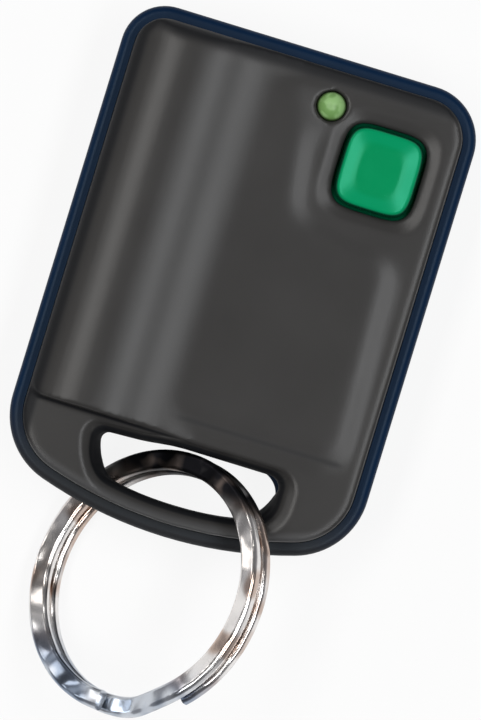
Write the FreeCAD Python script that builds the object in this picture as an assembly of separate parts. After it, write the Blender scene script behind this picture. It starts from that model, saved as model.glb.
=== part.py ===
import FreeCAD, Part
import math
import os

# One-button alarm remote control with a split key ring, in millimetres.
# It lies on its back. The origin is on the flat back face, under the middle of the case.
# +Z comes out of the button face, +Y points away from the key ring, +X is to the right.

# Battery and circuit board, which set the width and the length of the case
battery_radius = 5.15
battery_length = 28.5
board_width = 19.9

# Case seen from the front
top_left_radius = 4.6
top_right_radius = 5.6
bottom_corner_radius = 7.8
bottom_arc_radius = 45.0
least_inner_radius = 0.3
rim_width = 1.35
seam_gap = 0.1
cover_wall = 1.25

# Slot for the key ring, and the bar that closes it
bar_width = 3.0
slot_height = 6.4
slot_width = 19.8
slot_wall = 1.55
slot_corner_radius = 2.6
slot_lip = 0.7

# Rear cover, a tub
tub_height = 9.0
floor_thickness = 1.3
tub_back_radius = 1.4
tub_rim_radius = 0.8
loop_underside = 5.9
loop_sweep_land = 1.35
loop_sweep_run = 7.8

# Front cover
lap_depth = 2.0
lap_gap = 0.05
shelf_edge_radius = 1.2

# Battery barrel of the front cover
barrel_wall = 0.95
barrel_foot_rise = 0.3
barrel_flank_radius = 2.6
barrel_run_out = 3.35
barrel_end_land = 0.85
barrel_end_radius = 0.9
barrel_top_radius = 2.0
crest_shift = 0.9

# Plateau of the front cover
plateau_rise = 0.5
plateau_end_land = 3.15
plateau_end_inset = 3.7
plateau_shoulder_inset = 5.1
plateau_shoulder_drop = 8.8
recess_corner_reach = 6.6
recess_corner_drop = 7.0
recess_top_reach = 8.3
plateau_corner_radius = 2.4
plateau_slope = 0.9
plateau_root = 0.2
plateau_edge_inset = 0.72
plateau_edge_slope = 0.36

# Button
button_from_side = 8.8
button_from_top = 10.15
button_width = 8.1
button_length = 8.4
button_side_bulge = 0.35
button_end_bulge = 0.6
button_corner_radius = 1.3
button_crown_radius = 0.9
button_proud = 1.1
button_gap = 0.3
button_lead_in = 0.45
button_flange_width = 1.1
button_flange_thickness = 1.0
button_flange_gap = 0.15
button_post_length = 1.05
button_post_radius = 1.7
button_post_gap = 0.05

# Indicator
led_from_button = 6.6
led_from_top = 5.15
led_radius = 1.5
led_hole_gap = 0.1
led_flange_radius = 1.9
led_flange_thickness = 1.0
led_flat_distance = 1.6
led_length = 5.3
led_proud = 1.0
led_lead_width = 0.5
led_lead_pitch = 2.54
led_lead_hole_radius = 0.45

# Circuit board
board_battery_gap = 1.85
board_side_gap = 0.3
board_from_top = 3.15
board_end_gap = 0.6
board_height = 2.4
board_thickness = 1.0
board_corner_radius = 1.5
board_notch_gap = 0.4
peg_radius = 1.3
peg_pin_radius = 0.65
peg_pin_shy = 0.1
peg_hole_radius = 0.75
peg_inset = 1.9
post_radius = 1.0
post_gap = 0.05
tail_length = 0.7

# Push switch on the board
switch_width = 6.0
switch_base_height = 2.9
switch_cover_thickness = 0.3
switch_height = 4.3
switch_wall = 0.8
switch_floor = 0.9
switch_corner_radius = 0.4
plunger_radius = 1.65
plunger_gap = 0.1
plunger_collar_radius = 2.0
plunger_collar_height = 0.6
plunger_toe_radius = 0.8
plunger_toe_gap = 0.02
dome_radius = 1.9
dome_thickness = 0.1
dome_rise = 0.7
terminal_width = 0.7
terminal_thickness = 0.3
terminal_pitch = 4.5
terminal_hole_gap = 0.15
terminal_rise = 1.2

# Battery and its contacts
battery_edge_radius = 0.5
battery_side_gap = 0.25
battery_floor_gap = 0.3
sleeve_thickness = 0.15
sleeve_gap = 0.01
sleeve_end = 0.8
cap_radius = 2.2
cap_height = 1.1
cap_edge_radius = 0.4
battery_pocket_gap = 0.35
pocket_past_low_end = 1.2
pocket_past_high_end = 2.8
cradle_gap = 0.15
cradle_thickness = 1.0
cradle_top = 5.2
cradle_inset = 6.0
contact_thickness = 0.35
contact_width = 7.0
contact_below_axis = 2.8
contact_top_gap = 0.4
contact_bow = 1.5
contact_gap = 0.03
contact_end_gap = 0.02
contact_rib_thickness = 0.9
contact_rib_end_gap = 0.37
contact_rib_boss_gap = 0.17
contact_tab_width = 1.6
contact_tab_overlap = 1.4
contact_riser_overlap = 0.5

# Electronics, placed from the board's left and top edges unless they line up with something
chip_from_button = 7.0
chip_from_top = 11.8
chip_width = 3.9
chip_length = 4.9
chip_height = 1.5
chip_lift = 0.15
chip_lead_count = 4
chip_lead_pitch = 1.27
chip_lead_width = 0.4
chip_lead_thickness = 0.2
chip_lead_reach = 1.0
chip_lead_rise = 0.6
chip_mark_radius = 0.35
chip_mark_inset = 0.8
chip_mark_depth = 0.1
lead_knee_share = 0.45
can_from_left = 13.5
can_from_top = 18.4
can_radius = 4.1
can_lift = 0.1
can_flange_radius = 4.6
can_flange_thickness = 0.4
can_height = 3.2
can_edge_radius = 0.5
can_lead_radius = 0.22
can_lead_circle = 2.54
can_lead_hole_radius = 0.35
transistor_from_left = 5.1
transistor_width = 1.3
transistor_length = 2.9
transistor_height = 1.0
transistor_lift = 0.05
transistor_lead_width = 0.4
transistor_lead_thickness = 0.12
transistor_lead_reach = 0.55
transistor_lead_pitch = 1.9
transistor_lead_rise = 0.45
resistor_length = 2.0
resistor_width = 1.25
resistor_height = 0.55
resistor_count = 5
resistor_pitch = 2.3
resistor_from_left = 2.0
resistor_from_bottom = 6.0
capacitor_length = 2.0
capacitor_width = 1.25
capacitor_height = 0.9
capacitor_count = 3
capacitor_pitch = 3.0
capacitor_from_left = 6.5
capacitor_below_can = 6.2
chip_part_corner = 0.08
antenna_from_left = 5.7
antenna_boss_gap = 1.8
antenna_below_capacitors = 2.8
antenna_from_bottom = 2.0
antenna_width = 1.2
antenna_thickness = 0.5
antenna_lift = 1.6
antenna_hole_gap = 0.12

# Case screws, put in from the back
screw_from_battery = 0.7
screw_from_side = 5.9
screw_from_cavity_end = 2.6
screw_head_radius = 1.7
screw_head_height = 1.3
screw_head_recess = 0.4
screw_head_edge = 0.3
screw_shank_radius = 0.95
screw_length = 7.0
screw_point_length = 1.0
screw_point_radius = 0.25
screw_slot_width = 0.5
screw_slot_depth = 0.6
screw_slot_reach = 1.2
screw_clearance = 0.2
screw_fit = 0.02
boss_radius = 2.1
boss_wall_overlap = 0.15
boss_seat_radius = 2.4
boss_seat_height = 3.2
boss_seat_gap = 0.05
bore_extra_depth = 0.4

# Key ring, a split ring of two turns
ring_outer_radius = 14.0
ring_wire_width = 2.1
ring_wire_thickness = 1.2
ring_wire_corner = 0.45
ring_turn_gap = 0.5
ring_jog_degrees = 34.0
ring_end_gap_degrees = 3.0
ring_split_degrees = 285.0
ring_tilt_degrees = 38.0
ring_lean_degrees = 12.4
ring_slot_gap = 0.35
ring_floor_gap = 0.05

# Overlaps that only make a cut or a join sure
cut_past = 1.0
join_depth = 0.2
fillet_share = 0.98
half_side_share = 0.4985

UP = FreeCAD.Vector(0, 0, 1)
ALONG_X = FreeCAD.Vector(1, 0, 0)
ALONG_Y = FreeCAD.Vector(0, 1, 0)
ORIGIN = FreeCAD.Vector(0, 0, 0)

# Walls, and the case's size, from what it holds
cover_inset = rim_width + seam_gap
cavity_inset = cover_inset + cover_wall
contact_reach = contact_gap + contact_bow + contact_thickness
battery_row_width = battery_side_gap + 2 * battery_radius + board_battery_gap
battery_row_length = battery_length + 2 * (contact_reach + contact_rib_thickness)
loop_length = bar_width + slot_height + slot_wall
boss_row_length = contact_rib_boss_gap + 2 * boss_radius - boss_wall_overlap
case_width = 2 * cavity_inset + battery_row_width + board_width + board_side_gap
case_length = loop_length + contact_rib_end_gap + battery_row_length + boss_row_length + cavity_inset
half_width = case_width / 2
half_length = case_length / 2

# Heights above the back face
board_top = board_height + board_thickness
tail_bottom = board_height - tail_length
button_post_bottom = board_top + switch_height + button_post_gap
button_flange_bottom = button_post_bottom + button_post_length
button_flange_top = button_flange_bottom + button_flange_thickness
ceiling = button_flange_top + button_flange_gap
shelf_height = ceiling + cover_wall
plateau_height = shelf_height + plateau_rise
lap_bottom = tub_height - lap_depth
battery_z = floor_thickness + battery_floor_gap + battery_radius
crest_height = battery_z + battery_radius + battery_pocket_gap + barrel_wall
barrel_foot_height = tub_height + barrel_foot_rise
above_all = crest_height + 5 * cut_past

# Places along Y, from the key slot up to the top edge
bottom_centre_y = bottom_arc_radius - half_length
slot_top_y = bar_width + slot_height - half_length
loop_sweep_start_y = slot_top_y + loop_sweep_land
loop_sweep_end_y = loop_sweep_start_y - loop_sweep_run
cavity_end_y = slot_top_y + slot_wall
barrel_end_y = slot_top_y + barrel_end_land
plateau_end_y = slot_top_y + plateau_end_land
battery_end_y = cavity_end_y + contact_rib_end_gap + contact_rib_thickness + contact_reach
battery_nub_y = battery_end_y + battery_length
button_y = half_length - button_from_top
led_y = half_length - led_from_top
recess_corner_y = button_y - recess_corner_drop
plateau_shoulder_y = button_y - plateau_shoulder_drop
board_top_y = half_length - board_from_top
board_bottom_y = cavity_end_y + board_end_gap
chip_y = board_top_y - chip_from_top
can_y = board_top_y - can_from_top
transistor_y = can_y
capacitor_y = can_y - capacitor_below_can
antenna_top_y = capacitor_y - antenna_below_capacitors
antenna_bottom_y = board_bottom_y + antenna_from_bottom
resistor_first_y = board_bottom_y + resistor_from_bottom
screw_left_y = half_length - cavity_inset + boss_wall_overlap - boss_radius
screw_right_y = cavity_end_y + screw_from_cavity_end
ring_centre_y = slot_top_y - ring_slot_gap - ring_outer_radius

# Places along X, from the left wall to the right one
battery_x = cavity_inset + battery_side_gap + battery_radius - half_width
crest_x = battery_x - crest_shift
barrel_right_x = battery_x + battery_radius + barrel_run_out
plateau_left_x = crest_x - join_depth
plateau_end_x = half_width - plateau_end_inset
plateau_shoulder_x = half_width - plateau_shoulder_inset
button_x = half_width - button_from_side
led_x = button_x - led_from_button
recess_corner_x = button_x - recess_corner_reach
recess_top_x = button_x - recess_top_reach
board_left_x = battery_x + battery_radius + board_battery_gap
board_right_x = board_left_x + board_width
chip_x = button_x - chip_from_button
can_x = board_left_x + can_from_left
transistor_x = board_left_x + transistor_from_left
resistor_x = board_left_x + resistor_from_left
capacitor_first_x = board_left_x + capacitor_from_left
screw_left_x = battery_x - screw_from_battery
screw_right_x = half_width - screw_from_side
antenna_left_x = board_left_x + antenna_from_left
antenna_right_x = screw_right_x - boss_radius - antenna_boss_gap


def point(x, y, z=0.0):
    return FreeCAD.Vector(x, y, z)


def polar(x, y, radius, angle, z):
    return point(x + radius * math.cos(angle), y + radius * math.sin(angle), z)


def line(a, b):
    return Part.LineSegment(a, b).toShape()


def arc_about(x, y, radius, start, end, z):
    middle = (start + end) / 2
    ends = [polar(x, y, radius, angle, z) for angle in (start, middle, end)]
    return Part.Arc(*ends).toShape()


def box(x_low, x_high, y_low, y_high, z_low, z_high):
    return Part.makeBox(x_high - x_low, y_high - y_low, z_high - z_low, point(x_low, y_low, z_low))


def rod(x, y, z_low, z_high, radius):
    return Part.makeCylinder(radius, z_high - z_low, point(x, y, z_low), UP)


def along_battery(y_low, y_high, radius):
    return Part.makeCylinder(radius, y_high - y_low, point(battery_x, y_low, battery_z), ALONG_Y)


def prism(wire, height):
    return Part.Face(wire).extrude(UP * height)


def tapered(low_wire, high_wire):
    return Part.makeLoft([low_wire, high_wire], True, True)


def rounded_polygon(corners, radii):
    """Closed wire through corners at one height, each rounded by its radius where that isn't zero."""
    count = len(corners)
    starts = []
    ends = []
    middles = []
    for number in range(count):
        corner = corners[number]
        back = (corners[number - 1] - corner).normalize()
        ahead = (corners[(number + 1) % count] - corner).normalize()
        half_angle = back.getAngle(ahead) / 2
        setback = radii[number] / math.tan(half_angle)
        starts.append(corner + back * setback)
        ends.append(corner + ahead * setback)
        inward = (back + ahead).normalize()
        middles.append(corner + inward * (radii[number] / math.sin(half_angle) - radii[number]))
    edges = []
    for number in range(count):
        if radii[number] > 0:
            edges.append(Part.Arc(starts[number], middles[number], ends[number]).toShape())
        edges.append(line(ends[number], starts[(number + 1) % count]))
    return Part.Wire(edges)


def joined(first, *others):
    shape = first.fuse(list(others))
    return shape.removeSplitter()


def edges_at_height(shape, height):
    """Edges that lie level at one height."""
    found = []
    for edge in shape.Edges:
        bounds = edge.BoundBox
        if abs(bounds.ZMin - height) < 1e-4 and abs(bounds.ZMax - height) < 1e-4:
            found.append(edge)
    return found


def upright_edges(shape):
    found = []
    for edge in shape.Edges:
        bounds = edge.BoundBox
        if bounds.ZLength > 1e-3 and bounds.XLength < 1e-4 and bounds.YLength < 1e-4:
            found.append(edge)
    return found


def case_outline(inset, z):
    """The case's outline, drawn in by inset: straight sides and top, and a bowed bottom."""
    side = half_width - inset
    top = half_length - inset
    left_r = max(top_left_radius - inset, least_inner_radius)
    right_r = max(top_right_radius - inset, least_inner_radius)
    low_r = max(bottom_corner_radius - inset, least_inner_radius)
    bow_r = bottom_arc_radius - inset
    corner_x = side - low_r
    corner_y = bottom_centre_y - math.sqrt((bow_r - low_r) ** 2 - corner_x ** 2)
    turn = math.atan2(corner_y - bottom_centre_y, corner_x)
    left_turn = -math.pi - turn
    low_left = polar(-corner_x, corner_y, low_r, left_turn, z)
    low_right = polar(corner_x, corner_y, low_r, turn, z)
    bow_middle = point(0, bottom_centre_y - bow_r, z)
    edges = [
        line(point(side, corner_y, z), point(side, top - right_r, z)),
        arc_about(side - right_r, top - right_r, right_r, 0, math.pi / 2, z),
        line(point(side - right_r, top, z), point(left_r - side, top, z)),
        arc_about(left_r - side, top - left_r, left_r, math.pi / 2, math.pi, z),
        line(point(-side, top - left_r, z), point(-side, corner_y, z)),
        arc_about(-corner_x, corner_y, low_r, -math.pi, left_turn, z),
        Part.Arc(low_left, bow_middle, low_right).toShape(),
        arc_about(corner_x, corner_y, low_r, turn, 0, z),
    ]
    return Part.Wire(edges)


def case_prism(inset, z_low, z_high):
    return prism(case_outline(inset, z_low), z_high - z_low)


def slot_outline(grow, z):
    """The key slot's outline, made larger all round by grow."""
    half = slot_width / 2 + grow
    top = slot_top_y + grow
    bow_r = bottom_arc_radius - bar_width + grow
    corner_y = bottom_centre_y - math.sqrt(bow_r ** 2 - half ** 2)
    edges = [
        line(point(half, corner_y, z), point(half, top, z)),
        line(point(half, top, z), point(-half, top, z)),
        line(point(-half, top, z), point(-half, corner_y, z)),
        Part.Arc(point(-half, corner_y, z), point(0, bottom_centre_y - bow_r, z),
                 point(half, corner_y, z)).toShape(),
    ]
    return Part.Wire(edges)


def slot_prism(grow, z_low, z_high):
    """A plug that fills the key slot, with its four upright corners rounded."""
    plug = prism(slot_outline(grow, z_low), z_high - z_low)
    side = slot_outline(0.0, z_low).Edges[0].Length
    corner = min(slot_corner_radius, side * half_side_share)
    return plug.makeFillet(corner + grow, upright_edges(plug))


def slot_cutter():
    """The slot right through, with its front edge broken by a stepped lip."""
    cutter = slot_prism(0.0, -cut_past, above_all)
    lip = slot_prism(slot_lip, shelf_height - slot_lip, above_all)
    rounding = lip.makeFillet(slot_lip * fillet_share, edges_at_height(lip, shelf_height - slot_lip))
    return joined(cutter, rounding)


def button_outline(grow, z):
    """The button's square with bulged sides, made larger all round by grow."""
    half_x = button_width / 2 - button_side_bulge + grow
    half_y = button_length / 2 - button_end_bulge + grow
    right = button_x + half_x
    left = button_x - half_x
    top = button_y + half_y
    low = button_y - half_y
    edges = [
        Part.Arc(point(right, low, z), point(right + button_side_bulge, button_y, z),
                 point(right, top, z)).toShape(),
        Part.Arc(point(right, top, z), point(button_x, top + button_end_bulge, z),
                 point(left, top, z)).toShape(),
        Part.Arc(point(left, top, z), point(left - button_side_bulge, button_y, z),
                 point(left, low, z)).toShape(),
        Part.Arc(point(left, low, z), point(button_x, low - button_end_bulge, z),
                 point(right, low, z)).toShape(),
    ]
    return Part.Wire(edges)


def button_prism(grow, z_low, z_high):
    block = prism(button_outline(grow, z_low), z_high - z_low)
    return block.makeFillet(button_corner_radius + grow, upright_edges(block))


def export(name, *solids):
    shape = solids[0] if len(solids) == 1 else Part.makeCompound(list(solids))
    shape.exportStep("parts/" + name + ".step")
    bounds = shape.BoundBox
    print(name, "solids", len(shape.Solids), "valid", shape.isValid(), "volume", round(shape.Volume, 2),
          "z", round(bounds.ZMin, 2), round(bounds.ZMax, 2))


screw_places = [(screw_left_x, screw_left_y), (screw_right_x, screw_right_y)]
screw_head_bottom = screw_head_recess
screw_head_top = screw_head_bottom + screw_head_height
screw_tip = screw_head_top + screw_length
boss_bottom = boss_seat_height + boss_seat_gap

peg_places = [
    (board_left_x + peg_inset, board_top_y - peg_inset),
    (board_right_x - peg_inset, board_top_y - peg_inset),
    (board_left_x + peg_inset, board_bottom_y + peg_inset),
]
board_rest_places = peg_places + [(board_right_x - peg_inset, capacitor_y)]
hold_down_places = [peg_places[0], (board_right_x - peg_inset, capacitor_y)]
led_lead_places = [(led_x - led_lead_pitch / 2, led_y), (led_x + led_lead_pitch / 2, led_y)]

terminal_places = []
for side_x in (-1, 1):
    for side_y in (-1, 1):
        terminal_places.append((button_x + side_x * (switch_width + terminal_thickness) / 2,
                                button_y + side_y * terminal_pitch / 2))

can_lead_places = []
for quarter in (0, 1, 2):
    angle = quarter * math.pi / 2
    can_lead_places.append((can_x + can_lead_circle * math.cos(angle),
                            can_y + can_lead_circle * math.sin(angle)))


def loop_underside_cutter():
    """Wedge that lifts the underside towards the key ring, so that the ring passes below the bar."""
    corners = [
        point(-case_width, loop_sweep_start_y, 0),
        point(-case_width, loop_sweep_end_y, loop_underside),
        point(-case_width, -case_length, loop_underside),
        point(-case_width, -case_length, -cut_past),
        point(-case_width, loop_sweep_start_y, -cut_past),
    ]
    corners.append(corners[0])
    return Part.Face(Part.makePolygon(corners)).extrude(ALONG_X * (2 * case_width))


def make_rear_cover():
    body = case_prism(0.0, 0.0, tub_height)
    body = body.makeFillet(tub_back_radius, edges_at_height(body, 0.0))
    body = body.makeFillet(tub_rim_radius, edges_at_height(body, tub_height))
    body = body.cut(loop_underside_cutter())
    rebate = case_prism(rim_width, lap_bottom, above_all)
    cavity = case_prism(rim_width, floor_thickness, above_all)
    cavity = cavity.common(box(-case_width, case_width, cavity_end_y, case_length, 0, above_all))
    body = body.cut([rebate, cavity])
    pieces = []
    for x, y in screw_places:
        pieces.append(rod(x, y, floor_thickness / 2, boss_seat_height, boss_seat_radius))
    for x, y in board_rest_places:
        pieces.append(rod(x, y, floor_thickness / 2, board_height, peg_radius))
    for x, y in peg_places:
        pieces.append(rod(x, y, board_height, board_top - peg_pin_shy, peg_pin_radius))
    left_wall = -half_width + rim_width / 2
    cradle_right = battery_x + battery_radius + cradle_thickness
    for y in (battery_end_y + cradle_inset, battery_nub_y - cradle_inset):
        pieces.append(box(left_wall, cradle_right, y - cradle_thickness / 2, y + cradle_thickness / 2,
                          floor_thickness / 2, cradle_top))
    for y_low in contact_rib_starts():
        pieces.append(box(left_wall, cradle_right, y_low, y_low + contact_rib_thickness,
                          floor_thickness / 2, cradle_top))
    inside = case_prism(rim_width / 2, 0, lap_bottom - lap_gap)
    pieces = [piece.common(inside) for piece in pieces]
    body = joined(body, *pieces)
    bed = along_battery(battery_end_y - cradle_gap, battery_nub_y + cradle_gap, battery_radius + cradle_gap)
    cuts = [bed, slot_prism(0.0, -cut_past, above_all)]
    for x, y in screw_places:
        cuts.append(rod(x, y, -cut_past, screw_head_top, screw_head_radius + screw_clearance))
        cuts.append(rod(x, y, -cut_past, above_all, screw_shank_radius + screw_clearance))
    return body.cut(cuts)


def barrel_section(y):
    """Section across the battery barrel: upright flank, two arcs to the crest, an S down to the plateau."""
    left = -half_width + cover_inset
    low = lap_bottom + lap_gap
    rise = crest_height - barrel_foot_height
    reach = crest_x - left
    small = barrel_flank_radius
    large = ((reach - small) ** 2 + rise ** 2 - small ** 2) / (2 * (rise - small))
    meet = math.atan2(large - rise, reach - small)
    small_x = left + small
    small_z = barrel_foot_height
    large_z = crest_height - large
    meet_point = point(small_x - small * math.cos(meet), y, small_z + small * math.sin(meet))
    small_middle = point(small_x - small * math.cos(meet / 2), y, small_z + small * math.sin(meet / 2))
    upper = (meet + math.pi / 2) / 2
    large_middle = point(crest_x - large * math.cos(upper), y, large_z + large * math.sin(upper))
    crest = point(crest_x, y, crest_height)
    drop = (crest_height - plateau_height) / 2
    run = (barrel_right_x - crest_x) / 2
    bend = (run ** 2 + drop ** 2) / (2 * drop)
    swing = math.asin(run / bend)
    crest_side = point(crest_x + bend * math.sin(swing / 2), y,
                       crest_height - bend * (1 - math.cos(swing / 2)))
    halfway = point(crest_x + run, y, crest_height - drop)
    foot_side = point(barrel_right_x - bend * math.sin(swing / 2), y,
                      plateau_height + bend * (1 - math.cos(swing / 2)))
    foot = point(barrel_right_x, y, plateau_height)
    edges = [
        line(point(left, y, low), point(left, y, barrel_foot_height)),
        Part.Arc(point(left, y, barrel_foot_height), small_middle, meet_point).toShape(),
        Part.Arc(meet_point, large_middle, crest).toShape(),
        Part.Arc(crest, crest_side, halfway).toShape(),
        Part.Arc(halfway, foot_side, foot).toShape(),
        line(foot, point(barrel_right_x, y, low)),
        line(point(barrel_right_x, y, low), point(left, y, low)),
    ]
    return Part.Wire(edges)


def barrel_side_profile():
    """Side view of the barrel, which rounds its two ends, as a slab along X."""
    low = lap_bottom
    top_y = half_length - cover_inset
    end_y = barrel_end_y
    top_r = barrel_top_radius
    end_r = barrel_end_radius
    k = 1 - math.sqrt(0.5)
    x = -case_width
    edges = [
        line(point(x, end_y, low), point(x, end_y, crest_height - end_r)),
        Part.Arc(point(x, end_y, crest_height - end_r),
                 point(x, end_y + end_r * k, crest_height - end_r * k),
                 point(x, end_y + end_r, crest_height)).toShape(),
        line(point(x, end_y + end_r, crest_height), point(x, top_y - top_r, crest_height)),
        Part.Arc(point(x, top_y - top_r, crest_height),
                 point(x, top_y - top_r * k, crest_height - top_r * k),
                 point(x, top_y, crest_height - top_r)).toShape(),
        line(point(x, top_y, crest_height - top_r), point(x, top_y, low)),
        line(point(x, top_y, low), point(x, end_y, low)),
    ]
    return Part.Face(Part.Wire(edges)).extrude(ALONG_X * (2 * case_width))


def make_barrel():
    section = Part.Face(barrel_section(-case_length)).extrude(ALONG_Y * (2 * case_length))
    barrel = section.common(barrel_side_profile())
    return barrel.common(case_prism(cover_inset, 0, above_all))


def plateau_outline(grow, z):
    """The plateau's edge, counter-clockwise, with its sloping sides moved out by grow."""
    corners = [
        point(plateau_left_x, plateau_end_y - grow, z),
        point(plateau_end_x + grow, plateau_end_y - grow, z),
        point(plateau_shoulder_x + grow, plateau_shoulder_y + grow, z),
        point(recess_corner_x + grow, recess_corner_y + grow, z),
        point(recess_top_x + grow, half_length, z),
        point(plateau_left_x, half_length, z),
    ]
    outer_radius = plateau_corner_radius + grow
    radii = [0, outer_radius, outer_radius, plateau_corner_radius - grow, 0, 0]
    return rounded_polygon(corners, radii)


def make_plateau():
    """The low raised field beside the barrel, with sloping sides and a rounded shoulder."""
    low = shelf_height - plateau_root
    half_slope = plateau_slope / 2
    slab = tapered(plateau_outline(half_slope, low), plateau_outline(-half_slope, plateau_height))
    edge_inset = cover_inset + plateau_edge_inset
    limit = tapered(case_outline(edge_inset, low),
                    case_outline(edge_inset + plateau_edge_slope, plateau_height))
    return slab.common(limit)


def front_outer():
    """Outside of the front cover before its holes are cut."""
    shelf = case_prism(cover_inset, lap_bottom + lap_gap, shelf_height)
    shelf = shelf.makeFillet(shelf_edge_radius, edges_at_height(shelf, shelf_height))
    barrel_room = box(-case_width, crest_x, barrel_end_y, case_length, 0, above_all)
    return shelf.cut(barrel_room).fuse([make_plateau(), make_barrel()])


def make_front_cover():
    outer = front_outer()
    cavity = case_prism(cavity_inset, 0, ceiling)
    cavity_low_y = battery_end_y - contact_reach - contact_end_gap
    cavity = cavity.common(box(-case_width, case_width, cavity_low_y, case_length, 0, above_all))
    pocket = along_battery(battery_end_y - pocket_past_low_end, battery_nub_y + pocket_past_high_end,
                           battery_radius + battery_pocket_gap)
    body = outer.cut([cavity, pocket])
    pieces = []
    for x, y in screw_places:
        pieces.append(rod(x, y, boss_bottom, ceiling + cover_wall / 2, boss_radius))
    for x, y in hold_down_places:
        pieces.append(rod(x, y, board_top + post_gap, ceiling + cover_wall / 2, post_radius))
    body = joined(body, *pieces)
    hole = button_prism(button_gap, 0, above_all)
    hole = hole.common(box(0, case_width, 0, case_length, ceiling - cut_past, above_all))
    lead_in = button_prism(button_gap + button_lead_in, shelf_height - button_lead_in, above_all)
    lead_in = lead_in.makeFillet(button_lead_in * fillet_share,
                                 edges_at_height(lead_in, shelf_height - button_lead_in))
    cuts = [slot_cutter(), hole, lead_in]
    cuts.append(rod(led_x, led_y, ceiling - cut_past, above_all, led_radius + led_hole_gap))
    for x, y in screw_places:
        cuts.append(rod(x, y, boss_bottom - cut_past, screw_tip + bore_extra_depth,
                        screw_shank_radius + screw_fit))
    return body.cut(cuts)


def make_button():
    top = shelf_height + button_proud
    cap = button_prism(0.0, button_flange_bottom, top)
    cap = cap.makeFillet(button_crown_radius, edges_at_height(cap, top))
    flange = button_prism(button_flange_width, button_flange_bottom, button_flange_top)
    post = rod(button_x, button_y, button_post_bottom, button_flange_bottom + join_depth, button_post_radius)
    return joined(cap, flange, post)


def make_led():
    top = shelf_height + led_proud
    bottom = top - led_length
    stem = rod(led_x, led_y, bottom, top - led_radius, led_radius)
    dome = Part.makeSphere(led_radius, point(led_x, led_y, top - led_radius))
    flange = rod(led_x, led_y, bottom, bottom + led_flange_thickness, led_flange_radius)
    flat = box(led_x - led_flange_radius, led_x - led_flat_distance, led_y - led_flange_radius,
               led_y + led_flange_radius, bottom, bottom + led_flange_thickness)
    return joined(stem, dome, flange).cut(flat)


def make_led_leads():
    top = shelf_height + led_proud - led_length
    half = led_lead_width / 2
    return [box(x - half, x + half, y - half, y + half, tail_bottom, top) for x, y in led_lead_places]


def make_board():
    board = box(board_left_x, board_right_x, board_bottom_y, board_top_y, board_height, board_top)
    board = board.makeFillet(board_corner_radius, upright_edges(board))
    notch_reach = boss_seat_radius + board_notch_gap
    cuts = [box(screw_right_x - notch_reach, board_right_x + cut_past, board_bottom_y - cut_past,
                screw_right_y + notch_reach, board_height - cut_past, board_top + cut_past)]
    for x, y in peg_places:
        cuts.append(rod(x, y, board_height - cut_past, board_top + cut_past, peg_hole_radius))
    for x, y in led_lead_places:
        cuts.append(rod(x, y, board_height - cut_past, board_top + cut_past, led_lead_hole_radius))
    for x, y in terminal_places:
        cuts.append(rod(x, y, board_height - cut_past, board_top + cut_past,
                        terminal_width / 2 + terminal_hole_gap))
    for x, y in can_lead_places:
        cuts.append(rod(x, y, board_height - cut_past, board_top + cut_past, can_lead_hole_radius))
    half_hole = antenna_thickness / 2 + antenna_hole_gap
    for x in (antenna_left_x, antenna_right_x):
        cuts.append(box(x - half_hole, x + half_hole,
                        antenna_top_y - antenna_width - antenna_hole_gap, antenna_top_y + antenna_hole_gap,
                        board_height - cut_past, board_top + cut_past))
    return board.cut(cuts)


def make_switch_base():
    half = switch_width / 2
    base = box(button_x - half, button_x + half, button_y - half, button_y + half,
               board_top, board_top + switch_base_height)
    base = base.makeFillet(switch_corner_radius, upright_edges(base))
    well = rod(button_x, button_y, board_top + switch_floor, above_all, half - switch_wall)
    return base.cut(well)


def make_switch_cover():
    half = switch_width / 2
    low = board_top + switch_base_height
    plate = box(button_x - half, button_x + half, button_y - half, button_y + half, low,
                low + switch_cover_thickness)
    plate = plate.makeFillet(switch_corner_radius, upright_edges(plate))
    return plate.cut(rod(button_x, button_y, low - cut_past, above_all, plunger_radius + plunger_gap))


def make_plunger():
    """Stem with a collar under the metal cover and a foot on the snap dome."""
    top = board_top + switch_height
    collar_top = board_top + switch_base_height - plunger_gap
    collar_low = collar_top - plunger_collar_height
    foot = board_top + switch_floor + dome_rise + plunger_toe_gap
    stem = rod(button_x, button_y, collar_low, top, plunger_radius)
    collar = rod(button_x, button_y, collar_low, collar_top, plunger_collar_radius)
    toe = rod(button_x, button_y, foot, collar_low + join_depth, plunger_toe_radius)
    return joined(stem, collar, toe)


def make_dome():
    """Snap dome: a shallow spherical cup that stands on the switch's floor."""
    floor = board_top + switch_floor
    outer_r = (dome_radius ** 2 + dome_rise ** 2) / (2 * dome_rise)
    centre = point(button_x, button_y, floor + dome_rise - outer_r)
    shell = Part.makeSphere(outer_r, centre).cut(Part.makeSphere(outer_r - dome_thickness, centre))
    room = rod(button_x, button_y, floor, floor + dome_rise + cut_past, dome_radius + cut_past)
    return shell.common(room)


def make_terminals():
    half = terminal_width / 2
    solids = []
    for x, y in terminal_places:
        thin = terminal_thickness / 2
        solids.append(box(x - thin, x + thin, y - half, y + half, tail_bottom, board_top + terminal_rise))
    return solids


def make_battery_can():
    shoulder = battery_nub_y - cap_height
    radius = battery_radius - sleeve_thickness - sleeve_gap
    can = along_battery(battery_end_y, shoulder, radius)
    rims = []
    for edge in can.Edges:
        if edge.BoundBox.YLength < 1e-4:
            rims.append(edge)
    return can.makeFillet(battery_edge_radius, rims)


def make_battery_cap():
    shoulder = battery_nub_y - cap_height
    cap = along_battery(shoulder, battery_nub_y, cap_radius)
    end = [edge for edge in cap.Edges if edge.BoundBox.YMin > battery_nub_y - 1e-4]
    return cap.makeFillet(cap_edge_radius, end)


def make_battery_sleeve():
    low = battery_end_y + sleeve_end
    high = battery_nub_y - cap_height - sleeve_end
    return along_battery(low, high, battery_radius).cut(
        along_battery(low - cut_past, high + cut_past, battery_radius - sleeve_thickness))


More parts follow.
